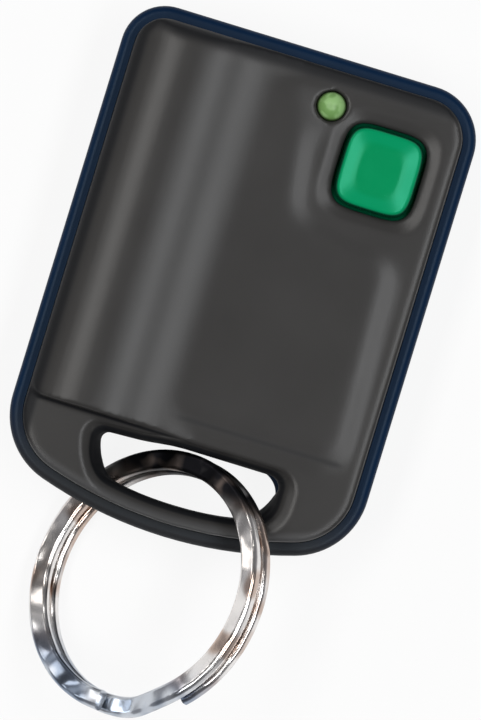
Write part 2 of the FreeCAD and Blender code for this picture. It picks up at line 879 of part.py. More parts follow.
def contact_plate_y(end):
    """Y of a contact's back, which stands against its rib. The end is -1 or 1, for negative or positive."""
    tip = battery_nub_y if end > 0 else battery_end_y
    return tip + end * contact_reach


def contact_rib_starts():
    low = contact_plate_y(-1) - contact_rib_thickness
    high = contact_plate_y(1)
    return [low, high]


def make_contact(end):
    """Bowed leaf that presses on one end of the battery, with a tab that is soldered to the board."""
    back = contact_plate_y(end)
    inner = back - end * contact_thickness
    tip = inner - end * contact_bow
    half = contact_width / 2
    low = battery_z - contact_below_axis
    bowed_back = tip + end * contact_thickness
    outside = Part.Arc(point(battery_x - half, inner, low), point(battery_x, tip, low),
                       point(battery_x + half, inner, low))
    inside = Part.Arc(point(battery_x - half, back, low), point(battery_x, bowed_back, low),
                      point(battery_x + half, back, low))
    section = Part.Wire([
        outside.toShape(),
        line(point(battery_x + half, inner, low), point(battery_x + half, back, low)),
        inside.toShape(),
        line(point(battery_x - half, back, low), point(battery_x - half, inner, low)),
    ])
    leaf = prism(section, ceiling - contact_top_gap - low)
    y_low = min(inner, back)
    tab_top = board_top + contact_thickness
    foot_x = battery_x + half
    riser = box(foot_x - contact_thickness, foot_x, y_low, y_low + contact_thickness, board_top,
                low + contact_riser_overlap)
    inward = back - end * contact_tab_width
    tab = box(foot_x - contact_thickness, board_left_x + contact_tab_overlap,
              min(inward, back), max(inward, back), board_top, tab_top)
    return joined(leaf, riser, tab)


def make_chip():
    body = box(chip_x - chip_width / 2, chip_x + chip_width / 2, chip_y - chip_length / 2,
               chip_y + chip_length / 2, board_top + chip_lift, board_top + chip_lift + chip_height)
    mark = rod(chip_x - chip_width / 2 + chip_mark_inset, chip_y + chip_length / 2 - chip_mark_inset,
               board_top + chip_lift + chip_height - chip_mark_depth, above_all, chip_mark_radius)
    return body.cut(mark)


def gull_lead(x, y, side, body_half, reach, width, thickness, height):
    """One lead in the shape of a gull's wing, from the body's side down to the board."""
    start = x + side * body_half
    knee = start + side * reach * lead_knee_share
    inner = knee + side * thickness
    tip = start + side * reach
    low = board_top
    y_low = y - width / 2
    y_high = y + width / 2
    shoulder = box(min(start, knee), max(start, knee), y_low, y_high, height, height + thickness)
    shin = box(min(knee, inner), max(knee, inner), y_low, y_high, low, height + thickness)
    foot = box(min(knee, tip), max(knee, tip), y_low, y_high, low, low + thickness)
    return joined(shoulder, shin, foot)


def make_chip_leads():
    solids = []
    middle = board_top + chip_lift + chip_lead_rise
    for side in (-1, 1):
        for number in range(chip_lead_count):
            y = chip_y + (number - (chip_lead_count - 1) / 2) * chip_lead_pitch
            solids.append(gull_lead(chip_x, y, side, chip_width / 2, chip_lead_reach, chip_lead_width,
                                    chip_lead_thickness, middle))
    return solids


def make_resonator():
    low = board_top + can_lift
    flange = rod(can_x, can_y, low, low + can_flange_thickness, can_flange_radius)
    can = rod(can_x, can_y, low, low + can_height, can_radius)
    can = can.makeFillet(can_edge_radius, edges_at_height(can, low + can_height))
    return joined(flange, can)


def make_resonator_leads():
    return [rod(x, y, tail_bottom, board_top + can_lift, can_lead_radius) for x, y in can_lead_places]


def make_transistor():
    return box(transistor_x - transistor_width / 2, transistor_x + transistor_width / 2,
               transistor_y - transistor_length / 2, transistor_y + transistor_length / 2,
               board_top + transistor_lift, board_top + transistor_lift + transistor_height)


def make_transistor_leads():
    half = transistor_width / 2
    height = board_top + transistor_lead_rise
    places = [(-1, -transistor_lead_pitch / 2), (-1, transistor_lead_pitch / 2), (1, 0.0)]
    return [gull_lead(transistor_x, transistor_y + shift, side, half, transistor_lead_reach,
                      transistor_lead_width, transistor_lead_thickness, height) for side, shift in places]


def chip_part(x, y, length, width, height):
    block = box(x - length / 2, x + length / 2, y - width / 2, y + width / 2, board_top, board_top + height)
    return block.makeFillet(chip_part_corner, upright_edges(block))


def make_resistors():
    return [chip_part(resistor_x, resistor_first_y + number * resistor_pitch, resistor_length,
                      resistor_width, resistor_height) for number in range(resistor_count)]


def make_capacitors():
    return [chip_part(capacitor_first_x + number * capacitor_pitch, capacitor_y, capacitor_length,
                      capacitor_width, capacitor_height) for number in range(capacitor_count)]


def make_antenna():
    """Stamped U of copper strip that stands off the board on two legs."""
    low = board_top + antenna_lift
    high = low + antenna_thickness
    thin = antenna_thickness / 2
    left_arm = box(antenna_left_x - thin, antenna_left_x - thin + antenna_width, antenna_bottom_y,
                   antenna_top_y, low, high)
    right_arm = box(antenna_right_x + thin - antenna_width, antenna_right_x + thin, antenna_bottom_y,
                    antenna_top_y, low, high)
    cross = box(antenna_left_x - thin, antenna_right_x + thin, antenna_bottom_y,
                antenna_bottom_y + antenna_width, low, high)
    legs = []
    for x in (antenna_left_x, antenna_right_x):
        legs.append(box(x - thin, x + thin, antenna_top_y - antenna_width, antenna_top_y,
                        tail_bottom, high))
    return joined(left_arm, right_arm, cross, *legs)


def make_screws():
    solids = []
    for x, y in screw_places:
        head = rod(x, y, screw_head_bottom, screw_head_top, screw_head_radius)
        head = head.makeFillet(screw_head_edge, edges_at_height(head, screw_head_bottom))
        shank = rod(x, y, screw_head_top - join_depth, screw_tip - screw_point_length, screw_shank_radius)
        tip = Part.makeCone(screw_shank_radius, screw_point_radius, screw_point_length,
                            point(x, y, screw_tip - screw_point_length), UP)
        half = screw_slot_width / 2
        length = screw_slot_reach
        low = screw_head_bottom - cut_past
        high = screw_head_bottom + screw_slot_depth
        cross = [box(x - half, x + half, y - length, y + length, low, high),
                 box(x - length, x + length, y - half, y + half, low, high)]
        solids.append(joined(head, shank, tip).cut(cross))
    return solids


ring_radius = ring_outer_radius - ring_wire_width / 2
ring_turn_step = ring_wire_thickness + ring_turn_gap
ring_stack = ring_turn_step + ring_wire_thickness
tilt = math.radians(ring_tilt_degrees)
ring_corner_relief = ring_wire_corner * (math.sin(tilt) + math.cos(tilt) - 1)
ring_reach_down = ring_outer_radius * math.sin(tilt) + ring_stack / 2 * math.cos(tilt) - ring_corner_relief
ring_centre_z = ring_reach_down + ring_floor_gap
full_turn = 2 * math.pi


def ring_point(angle, height):
    return polar(0, 0, ring_radius, angle, height)


def ring_direction(angle):
    return point(-math.sin(angle), math.cos(angle), 0)


def arc_from_corner(start, corner, end):
    """Arc from start to end that would meet at the corner if its two ends ran on."""
    middle = (start + end) * 0.5
    bend = math.atan2((corner - middle).Length, (end - start).Length / 2)
    on_arc = middle + (corner - middle) * (math.tan(bend / 2) / math.tan(bend))
    return Part.Arc(start, on_arc, end).toShape()


def biarc(start, start_way, end, end_way):
    """Two arcs that join two points, each leaving along its own direction."""
    chord = end - start
    ways = start_way + end_way
    spread = 2 * (1 - start_way.dot(end_way))
    along = chord.dot(ways)
    reach = (math.sqrt(along ** 2 + spread * chord.dot(chord)) - along) / spread
    first_corner = start + start_way * reach
    last_corner = end - end_way * reach
    joint = (first_corner + last_corner) * 0.5
    return [arc_from_corner(start, first_corner, joint), arc_from_corner(joint, last_corner, end)]


def flat_turn(start, end, height):
    """One turn of the ring at one height, as two arcs of about half a turn."""
    middle = (start + end) / 2
    arcs = []
    for a, b in ((start, middle), (middle, end)):
        arc = Part.Arc(ring_point(a, height), ring_point((a + b) / 2, height), ring_point(b, height))
        arcs.append(arc.toShape())
    return arcs


def ring_path():
    """Lower turn, a short climb, and upper turn, ending beside the climb."""
    jog = math.radians(ring_jog_degrees)
    end_gap = math.radians(ring_end_gap_degrees)
    low = -ring_turn_step / 2
    high = ring_turn_step / 2
    edges = flat_turn(jog + end_gap, full_turn, low)
    edges += biarc(ring_point(0, low), ring_direction(0), ring_point(jog, high), ring_direction(jog))
    edges += flat_turn(jog, full_turn - end_gap, high)
    return edges


def ring_section(angle, height):
    """Flattened wire: a rectangle with rounded corners, square to the path's start."""
    out = point(math.cos(angle), math.sin(angle), 0)
    centre = ring_point(angle, height)
    half_w = ring_wire_width / 2
    half_t = ring_wire_thickness / 2
    r = ring_wire_corner
    k = r * (1 - math.sqrt(0.5))
    edges = []
    for sx, sy in ((1, 1), (-1, 1), (-1, -1), (1, -1)):
        on_side = centre + out * (sx * half_w) + UP * (sy * (half_t - r))
        on_corner = centre + out * (sx * (half_w - k)) + UP * (sy * (half_t - k))
        on_face = centre + out * (sx * (half_w - r)) + UP * (sy * half_t)
        if sx == sy:
            edges.append(Part.Arc(on_side, on_corner, on_face).toShape())
            edges.append(line(on_face, on_face - out * (2 * sx * (half_w - r))))
        else:
            edges.append(Part.Arc(on_face, on_corner, on_side).toShape())
            edges.append(line(on_side, on_side - UP * (2 * sy * (half_t - r))))
    return Part.Wire(edges)


def ring_least_gap(solid):
    """Least distance between the two turns, measured on points of the wire's own section."""
    jog = math.radians(ring_jog_degrees)
    least = 10.0
    samples = 48
    for number in range(samples):
        angle = jog + (full_turn - jog) * (number + 0.5) / samples
        out = point(math.cos(angle), math.sin(angle), 0)
        across = ring_direction(angle)
        for share in (-0.8, -0.4, 0.0, 0.4, 0.8):
            base = out * (ring_radius + share * ring_wire_width / 2)
            probe = line(base - UP * ring_turn_step, base + UP * ring_turn_step)
            runs = probe.common(solid).Edges
            if len(runs) != 2:
                continue
            heights = sorted(vertex.Z for run in runs for vertex in run.Vertexes)
            least = min(least, heights[2] - heights[1])
    return least


def make_ring():
    jog = math.radians(ring_jog_degrees)
    end_gap = math.radians(ring_end_gap_degrees)
    path = Part.Wire(ring_path())
    sweep = Part.BRepOffsetAPI.MakePipeShell(path)
    sweep.add(ring_section(jog + end_gap, -ring_turn_step / 2))
    sweep.build()
    sweep.makeSolid()
    ring = sweep.shape()
    print("key_ring least gap between turns", round(ring_least_gap(ring), 3),
          "swept volume over section times length",
          round(ring.Volume / (Part.Face(ring_section(0, 0)).Area * path.Length), 4))
    ring.rotate(ORIGIN, UP, ring_split_degrees)
    ring.rotate(ORIGIN, ALONG_Y, -ring_tilt_degrees)
    ring.rotate(ORIGIN, UP, -ring_lean_degrees)
    ring.translate(point(0, ring_centre_y, ring_centre_z))
    return ring


os.makedirs("parts", exist_ok=True)
export("rear_cover", make_rear_cover())
export("front_cover", make_front_cover())
export("button_cap", make_button())
export("indicator_led", make_led())
export("led_leads", *make_led_leads())
export("circuit_board", make_board())
export("switch_base", make_switch_base())
export("switch_cover", make_switch_cover())
export("switch_plunger", make_plunger())
export("switch_dome", make_dome())
export("switch_terminals", *make_terminals())
export("battery_can", make_battery_can())
export("battery_cap", make_battery_cap())
export("battery_sleeve", make_battery_sleeve())
export("positive_contact", make_contact(1))
export("negative_contact", make_contact(-1))
export("encoder_chip", make_chip())
export("encoder_leads", *make_chip_leads())
export("resonator_can", make_resonator())
export("resonator_leads", *make_resonator_leads())
export("transistor", make_transistor())
export("transistor_leads", *make_transistor_leads())
export("chip_resistors", *make_resistors())
export("chip_capacitors", *make_capacitors())
export("antenna_loop", make_antenna())
export("case_screws", *make_screws())
export("key_ring", make_ring())
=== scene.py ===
# %% [markdown]
# # A one-button alarm remote on its key ring
#
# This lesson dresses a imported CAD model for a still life. The model gives every solid its true
# size and place. We keep most of its pieces and only finish their surfaces, and we model afresh
# the two pieces whose soft shapes make the picture: the grey front shell and the green button.
# A third new piece is the snap dome under the button, because it has to give way when pressed.
# Sizes are written in millimetres, as on a drawing, and `MM` turns them into Blender's metres.

import math

import bpy
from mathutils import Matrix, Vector


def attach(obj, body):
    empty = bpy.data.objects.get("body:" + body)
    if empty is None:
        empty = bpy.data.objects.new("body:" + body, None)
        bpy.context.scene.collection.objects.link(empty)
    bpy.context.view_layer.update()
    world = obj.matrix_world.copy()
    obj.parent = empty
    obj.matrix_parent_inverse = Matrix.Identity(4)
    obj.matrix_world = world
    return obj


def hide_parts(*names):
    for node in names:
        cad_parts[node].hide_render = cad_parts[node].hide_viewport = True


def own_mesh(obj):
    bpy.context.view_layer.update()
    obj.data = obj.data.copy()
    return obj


MM = 0.001
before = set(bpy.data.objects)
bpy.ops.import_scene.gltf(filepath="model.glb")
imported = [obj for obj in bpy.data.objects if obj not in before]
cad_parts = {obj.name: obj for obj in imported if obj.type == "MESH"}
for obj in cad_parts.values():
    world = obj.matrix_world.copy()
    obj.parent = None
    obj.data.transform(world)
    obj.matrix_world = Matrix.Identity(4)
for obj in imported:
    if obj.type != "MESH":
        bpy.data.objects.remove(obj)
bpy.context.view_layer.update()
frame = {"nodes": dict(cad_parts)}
nodes = frame["nodes"]

# %% [markdown]
# ## Camera
#
# The photograph looks straight down on the remote from far away, and the remote lies turned by
# 17 degrees. Each of the 720 rows of the picture covers 0.1024 mm at the height of the case's rim.
# A long lens at 60 cm hides the upright sides of the case, as the photograph does.

# %% Place the camera
ROW = 0.1024
ROWS = 720
AIM = Vector((2.3, -6.5, 9.0))
DISTANCE = 600.0
TURN = math.radians(17.05)
SENSOR = 24.0
NEAREST = 10.0

place = (AIM + Vector((0, 0, DISTANCE))) * MM
bpy.ops.object.camera_add(location=place, rotation=(0, 0, TURN))
camera = bpy.context.active_object
camera.name = "camera"
camera.data.sensor_fit = "VERTICAL"
camera.data.sensor_height = SENSOR
camera.data.lens = SENSOR * DISTANCE / (ROWS * ROW)
camera.data.clip_start = NEAREST * MM
bpy.context.scene.camera = camera
bpy.context.scene.view_settings.view_transform = "Standard"
print("lens:", round(camera.data.lens, 1), "mm")

# %% [markdown]
# ## Shader maths as plain sums
#
# A procedural finish is arithmetic on patterns. Wiring Math nodes by hand hides that, so one
# small class wraps a socket and gives it `+`, `-` and `*`. Every other node comes from
# `Finish.node`, which takes the node's type, its settings and the values of its sockets.

# %% Wrap the sockets of a material
class Signal:
    """One output of a shader node, which can be added, subtracted and multiplied."""

    def __init__(self, finish, socket):
        self.finish = finish
        self.socket = socket

    def math(self, operation, first, second):
        return self.finish.node("ShaderNodeMath", {"operation": operation}, {0: first, 1: second})

    def __add__(self, other):
        return self.math("ADD", self, other)

    def __sub__(self, other):
        return self.math("SUBTRACT", self, other)

    def __rsub__(self, other):
        return self.math("SUBTRACT", other, self)

    def __mul__(self, other):
        return self.math("MULTIPLY", self, other)

    __radd__ = __add__
    __rmul__ = __mul__

    def span(self, low, high):
        """How far the signal has come from low to high, kept between 0 and 1."""
        ends = {"Value": self, "From Min": low, "From Max": high}
        return self.finish.node("ShaderNodeMapRange", {"interpolation_type": "SMOOTHSTEP"}, ends)


print("signals can be added, subtracted and multiplied")

# %% Wrap the material itself
class Finish:
    """A material whose Principled shader is fed by signals."""

    def __init__(self, name):
        self.material = bpy.data.materials.new(name)
        self.material.use_nodes = True
        self.tree = self.material.node_tree
        self.shader = self.tree.nodes["Principled BSDF"]
        self.place = self.node("ShaderNodeTexCoord", output="Object")

    def node(self, kind, settings=None, sockets=None, output=0):
        made = self.tree.nodes.new(kind)
        for setting, value in (settings or {}).items():
            setattr(made, setting, value)
        for socket, value in (sockets or {}).items():
            self.feed(made.inputs[socket], value)
        return Signal(self, made.outputs[output])

    def feed(self, socket, value):
        if isinstance(value, Signal):
            self.tree.links.new(value.socket, socket)
        elif socket.type == "RGBA" and len(value) == 3:
            socket.default_value = (*value, 1.0)
        else:
            socket.default_value = value

    def noise(self, size, detail=2.0, roughness=0.5):
        """Soft noise from 0 to 1 whose blobs are about size millimetres across."""
        sockets = {"Vector": self.place, "Scale": 1 / (size * MM)}
        sockets.update({"Detail": detail, "Roughness": roughness})
        return self.node("ShaderNodeTexNoise", {}, sockets)

    def along(self, axis):
        """The place along X, Y or Z in millimetres."""
        return self.node("ShaderNodeSeparateXYZ", {}, {0: self.place}, axis) * (1 / MM)

    def mix(self, amount, low, high):
        """A colour that goes from low to high as amount goes from 0 to 1."""
        sockets = {"Factor": amount, 6: low, 7: high}
        return self.node("ShaderNodeMix", {"data_type": "RGBA"}, sockets, 2)

    def bump(self, height, depth):
        """A normal that follows height, where 1 stands for depth millimetres."""
        return self.node("ShaderNodeBump", {}, {"Height": height, "Distance": depth * MM})

    def set(self, **values):
        for name, value in values.items():
            self.feed(self.shader.inputs[name.replace("_", " ")], value)


def paint(piece, material):
    """Gives a piece one finish in place of what it has."""
    piece.data.materials.clear()
    piece.data.materials.append(material)


print("finishes can be written as sums")

# %% [markdown]
# ## Floor
#
# The photograph is cut out on white. The floor is pale paper, and what the camera and the metal
# see of it is mixed with a plain white glow, so the backdrop turns white without one more lamp
# on the object, while the shadow stays. It lies a hair below the case, so that the two do not
# flicker through each other.

# %% Lay the floor
FLOOR_SIZE = 3000.0
FLOOR_GAP = 0.02
GLOW_SEEN = 0.88
GLOW_MIRRORED = 0.3

bpy.ops.mesh.primitive_plane_add(size=FLOOR_SIZE * MM, location=(0, 0, -FLOOR_GAP * MM))
floor = bpy.context.active_object
floor.name = "floor"
paper = Finish("pale_paper")
eye = paper.node("ShaderNodeLightPath", output="Is Camera Ray") * GLOW_SEEN
mirror = paper.node("ShaderNodeLightPath", output="Is Glossy Ray") * GLOW_MIRRORED
glass = paper.node("ShaderNodeLightPath", output="Is Transmission Ray") * GLOW_MIRRORED
tint = paper.mix(paper.noise(3.0), (0.80, 0.80, 0.80), (0.84, 0.84, 0.84))
paper.set(Base_Color=tint, Roughness=0.9)
glow = paper.node("ShaderNodeEmission", {}, {"Color": (1.0, 1.0, 1.0), "Strength": 1.0})
matt = Signal(paper, paper.shader.outputs[0])
sheet = paper.node("ShaderNodeMixShader", {}, {0: eye + mirror + glass, 1: matt, 2: glow})
paper.feed(paper.tree.nodes["Material Output"].inputs["Surface"], sheet)
paint(floor, paper.material)
print("floor:", floor.name)

# %% [markdown]
# ## Lamps and sky
#
# The highlights of the photograph run along the barrel where its surface tilts about 11 degrees
# to either side, and everything level or steep is dark. So two long soft lamps hang 22 degrees
# left and right of the camera, and the sky is a dark room, a little lighter near the horizon.
# The ring is tilted the other way, and mirrors a low card at the left.

# %% Hang the lamps and darken the sky
LAMP_SIDE = 177
LAMP_HEIGHT = 440
LAMP_SIZE = (440, 116)
AIMED_AT = Vector((0, 0, 10))
SKY_LEVELS = ((0.15, 0.30), (0.60, 0.09))
SKY_BLUE = 1.04


def hang_lamp(name, place, size, watts, colour):
    """A soft lamp that faces the remote. For a lamp at a side, its first size lies along Y."""
    bpy.ops.object.light_add(type="AREA", location=Vector(place) * MM)
    lamp = bpy.context.active_object
    lamp.name = name
    lamp.data.shape = "RECTANGLE"
    lamp.data.size = size[0] * MM
    lamp.data.size_y = size[1] * MM
    lamp.data.energy = watts
    lamp.data.color = colour
    aim = AIMED_AT * MM - lamp.location
    lamp.rotation_euler = aim.to_track_quat("-Z", "Y").to_euler()
    return lamp


lamps = [
    hang_lamp("lamp_left", (-LAMP_SIDE, 0, LAMP_HEIGHT), LAMP_SIZE, 1.15, (1.0, 0.985, 0.96)),
    hang_lamp("lamp_right", (LAMP_SIDE, 0, LAMP_HEIGHT), LAMP_SIZE, 1.2, (0.97, 0.985, 1.0)),
    hang_lamp("lamp_low", (-540, 195, 190), (170, 200), 0.2, (1.0, 0.96, 0.92)),
]
world = bpy.data.worlds.new("dark_room")
bpy.context.scene.world = world
world.use_nodes = True
sky = world.node_tree
direction = sky.nodes.new("ShaderNodeTexCoord")
height = sky.nodes.new("ShaderNodeSeparateXYZ")
shade = sky.nodes.new("ShaderNodeValToRGB")
for element, (position, level) in zip(shade.color_ramp.elements, SKY_LEVELS):
    element.position = position
    element.color = (level, level, level * SKY_BLUE, 1.0)
sky.links.new(direction.outputs["Generated"], height.inputs[0])
sky.links.new(height.outputs["Z"], shade.inputs["Fac"])
sky.links.new(shade.outputs["Color"], sky.nodes["Background"].inputs["Color"])
print("lamps:", [lamp.name for lamp in lamps])

# %% [markdown]
# ## Modelling helpers
#
# A plate of any shape starts as a filled circle with one rim vertex for each point of its
# outline. We move the vertices onto the outline and extrude the face. The operators act on all
# that is selected, and the CAD pieces arrive selected, so each helper selects its own piece first.

# %% Select, apply and combine
def focus(piece):
    """Makes piece the only selected and active object."""
    if bpy.context.object and bpy.context.object.mode != "OBJECT":
        bpy.ops.object.mode_set(mode="OBJECT")
    bpy.ops.object.select_all(action="DESELECT")
    piece.select_set(True)
    bpy.context.view_layer.objects.active = piece


def choose(piece, test):
    """Goes into edit mode with only those vertices selected that pass test."""
    focus(piece)
    bpy.ops.object.mode_set(mode="EDIT")
    bpy.ops.mesh.select_all(action="DESELECT")
    bpy.ops.object.mode_set(mode="OBJECT")
    for vertex in piece.data.vertices:
        vertex.select = test(vertex)
    bpy.ops.object.mode_set(mode="EDIT")


def apply(piece, kind, **settings):
    """Adds one modifier to piece and applies it."""
    focus(piece)
    bpy.ops.object.modifier_add(type=kind)
    modifier = piece.modifiers[-1]
    for setting, value in settings.items():
        setattr(modifier, setting, value)
    bpy.ops.object.modifier_apply(modifier=modifier.name)


def combine(piece, *others, operation="DIFFERENCE"):
    """Cuts the other bodies out of piece, joins them on, or keeps what they share with it."""
    for other in others:
        apply(piece, "BOOLEAN", operation=operation, object=other, solver="EXACT")
        bpy.data.objects.remove(other)
    return piece


def triangles(piece):
    return sum(len(face.vertices) - 2 for face in piece.data.polygons)


print("pieces can be selected and combined")

# %% Draw outlines and loft bodies through them
ROUND_STEPS = 8
WELD = 0.01


def arc(x, y, radius, start, end, steps):
    """Points along an arc, with its angles in radians."""
    turns = [start + (end - start) * step / steps for step in range(steps + 1)]
    return [(x + radius * math.cos(turn), y + radius * math.sin(turn)) for turn in turns]


def disc(place, radius, steps=32):
    return arc(*place, radius, 0, 2 * math.pi, steps)[:-1]


def rounded(corners):
    """Points round a polygon of (x, y, radius) corners, given counter-clockwise."""
    points = []
    for number, (x, y, radius) in enumerate(corners):
        here = Vector((x, y))
        back = (Vector(corners[number - 1][:2]) - here).normalized()
        ahead = (Vector(corners[(number + 1) % len(corners)][:2]) - here).normalized()
        half = back.angle(ahead) / 2
        centre = here + (back + ahead).normalized() * (radius / math.sin(half))
        start = here + back * (radius / math.tan(half)) - centre
        sweep = start.angle_signed(here + ahead * (radius / math.tan(half)) - centre)
        first = math.atan2(start.y, start.x)
        points += arc(centre.x, centre.y, radius, first, first - sweep, ROUND_STEPS)
    return points


def filled(name, points):
    """A filled circle whose rim is drawn onto points in space."""
    bpy.ops.object.select_all(action="DESELECT")
    bpy.ops.mesh.primitive_circle_add(vertices=len(points), radius=MM, fill_type="NGON")
    piece = bpy.context.active_object
    piece.name = name
    for vertex, point in zip(piece.data.vertices, points):
        vertex.co = Vector(point) * MM
    return piece


def extrude(piece, reach):
    """Extrudes what is selected, and gives back the new vertices."""
    bpy.ops.object.mode_set(mode="EDIT")
    bpy.ops.mesh.extrude_region_move(TRANSFORM_OT_translate={"value": Vector(reach) * MM})
    bpy.ops.object.mode_set(mode="OBJECT")
    return [vertex for vertex in piece.data.vertices if vertex.select]


def face_outwards(piece):
    focus(piece)
    bpy.ops.object.mode_set(mode="EDIT")
    bpy.ops.mesh.select_all(action="SELECT")
    bpy.ops.mesh.remove_doubles(threshold=WELD * MM)
    bpy.ops.mesh.normals_make_consistent(inside=False)
    bpy.ops.object.mode_set(mode="OBJECT")
    return piece


def loft(name, *levels):
    """A closed body through levels, each a height and an outline of as many points."""
    height, outline = levels[0]
    piece = filled(name, [(x, y, height) for x, y in outline])
    for next_height, outline in levels[1:]:
        raised = extrude(piece, (0, 0, next_height - height))
        for vertex, (x, y) in zip(raised, outline):
            vertex.co.x = x * MM
            vertex.co.y = y * MM
        height = next_height
    return face_outwards(piece)


def plate(name, outline, low, high):
    return loft(name, (low, outline), (high, outline))


def prism(name, points, reach):
    """A closed body: a flat outline in space that is extruded by reach."""
    piece = filled(name, points)
    extrude(piece, reach)
    return face_outwards(piece)


print("lofts, plates and prisms are ready")

# %% [markdown]
# ## The case's outline
#
# Every part of the case follows one outline: straight sides, a straight top and a bowed bottom.
# `case_outline` walks round it, drawn in by an inset, so each wall comes from the same few sizes.

# %% Walk round the case
CASE_WIDTH = 38.0
CASE_LENGTH = 52.3
TOP_LEFT_RADIUS = 4.6
TOP_RIGHT_RADIUS = 5.6
LOW_RADIUS = 7.8
BOW_RADIUS = 45.0
BOW_Y = BOW_RADIUS - CASE_LENGTH / 2


def case_outline(inset):
    """Points round the case, drawn in by inset."""
    side = CASE_WIDTH / 2 - inset
    top = CASE_LENGTH / 2 - inset
    left = TOP_LEFT_RADIUS - inset
    right = TOP_RIGHT_RADIUS - inset
    low = LOW_RADIUS - inset
    bow = BOW_RADIUS - inset
    corner_x = side - low
    corner_y = BOW_Y - math.sqrt((bow - low) ** 2 - corner_x**2)
    turn = math.atan2(corner_y - BOW_Y, corner_x)
    points = arc(side - right, top - right, right, 0, math.pi / 2, 12)
    points += arc(left - side, top - left, left, math.pi / 2, math.pi, 12)
    points += arc(-corner_x, corner_y, low, -math.pi, -math.pi - turn, 16)
    points += arc(0, BOW_Y, bow, -math.pi - turn, turn, 32)[1:-1]
    points += arc(corner_x, corner_y, low, turn, 0, 16)
    return points


print("outline points:", len(case_outline(0.0)))

# %% [markdown]
# ## Front shell: shelf
#
# The grey shell has three levels. The lowest is a shelf all over the case. Its edge falls by
# 14 degrees over the last 0.6 mm and then turns down sharply. That slope mirrors the
# right-hand lamp as a soft band, which a plain round bevel would squeeze into a thin line.

# %% Build the shelf
SEAM = 7.05
SHELF = 11.2
COVER_INSET = 1.45
EDGE_DROP = 0.16
EDGE_WIDTH = 0.62

shelf = loft(
    "shelf",
    (SEAM, case_outline(COVER_INSET)),
    (SHELF - EDGE_DROP, case_outline(COVER_INSET)),
    (SHELF, case_outline(COVER_INSET + EDGE_WIDTH)),
)
print("shelf faces:", len(shelf.data.polygons))

# %% [markdown]
# ## Front shell: barrel
#
# The barrel covers the battery. It is steep on the left and sinks on the right in a long S. A
# cylinder would be as steep on both sides, so the section is drawn with arcs and extruded along
# the case. A second outline, seen from the side, rounds its ends, and two plates trim its
# corners. `STAND_OUT` is how far a cutter goes past the faces that it passes through, and
# `FAR` is a place well outside the case.

# %% Build the barrel
PLATEAU = 11.6
CREST = 13.2
CREST_X = -11.8
CREST_RADIUS = 11.0
SHOULDER_RADIUS = 1.5
BARREL_LEFT = -17.55
BARREL_RIGHT = -1.9
BEND = 0.475
BEND_STEPS = 24
RUN_OUT = 1.2
BARREL_LOW_END = -15.9
BARREL_TOP_END = CASE_LENGTH / 2 - COVER_INSET
LOW_END_RADIUS = 0.5
TOP_END_RADIUS = 1.9
LOW_CORNER_RADIUS = 1.8
STAND_OUT = 1.0
FAR = 30


def barrel_section():
    """(x, z) points: flank, shoulder, crest, the S down to the plateau and its run-out."""
    inner = CREST_RADIUS - SHOULDER_RADIUS
    lean = math.asin((CREST_X - BARREL_LEFT - SHOULDER_RADIUS) / inner)
    shoulder_x = CREST_X - inner * math.sin(lean)
    shoulder_z = CREST - CREST_RADIUS + inner * math.cos(lean)
    upright = math.pi / 2
    points = [(BARREL_LEFT, SEAM)]
    points += arc(shoulder_x, shoulder_z, SHOULDER_RADIUS, math.pi, upright + lean, 8)
    points += arc(CREST_X, CREST - CREST_RADIUS, CREST_RADIUS, upright + lean, upright, 14)[1:]
    for share in (step / BEND_STEPS for step in range(1, 20)):
        drop = share**2 / BEND if share < BEND else 1 - (1 - share) ** 2 / (1 - BEND)
        x = CREST_X + share * (BARREL_RIGHT - CREST_X)
        points.append((x, CREST - drop * (CREST - PLATEAU)))
    return points + [(RUN_OUT, SHELF - 0.1), (RUN_OUT, SEAM)]


section = [(x, BARREL_LOW_END, z) for x, z in barrel_section()]
barrel = prism("barrel", section, (0, BARREL_TOP_END - BARREL_LOW_END, 0))
side_view = [(BARREL_LOW_END, SEAM)]
low_place = (BARREL_LOW_END + LOW_END_RADIUS, CREST - LOW_END_RADIUS)
side_view += arc(*low_place, LOW_END_RADIUS, math.pi, math.pi / 2, 5)
top_place = (BARREL_TOP_END - TOP_END_RADIUS, CREST - TOP_END_RADIUS)
side_view += arc(*top_place, TOP_END_RADIUS, math.pi / 2, 0, 10)
side_view.append((BARREL_TOP_END, SEAM))
side_view = [(BARREL_LEFT - STAND_OUT, y, z) for y, z in side_view]
rounding = prism("rounding", side_view, (FAR, 0, 0))
trim = plate("trim", case_outline(COVER_INSET), SEAM - STAND_OUT, CREST + STAND_OUT)
low_corner = (BARREL_LEFT, BARREL_LOW_END, LOW_CORNER_RADIUS)
others = [(FAR, BARREL_LOW_END, 0.1), (FAR, FAR, 0.1), (BARREL_LEFT, FAR, 0.1)]
rounded_corner = rounded([low_corner, *others])
corner_trim = plate("corner_trim", rounded_corner, SEAM - STAND_OUT, CREST + STAND_OUT)
combine(barrel, rounding, trim, corner_trim, operation="INTERSECT")
print("barrel faces:", len(barrel.data.polygons))

# %% [markdown]
# ## Front shell: plateau
#
# The plateau stands 0.4 mm above the shelf and steps aside for the lamp and the button. Its
# edge is a slope nearly two millimetres wide, which catches the right-hand lamp as a broad dull
# stripe. Towards the top the slope widens, and the stripe fades out. A bevel keeps one width,
# so the plateau is a loft between two outlines that part more and more.

# %% Build the plateau
SLOPE = 0.85
FADE_OUT = 6.0
FADE_IN = -3.0


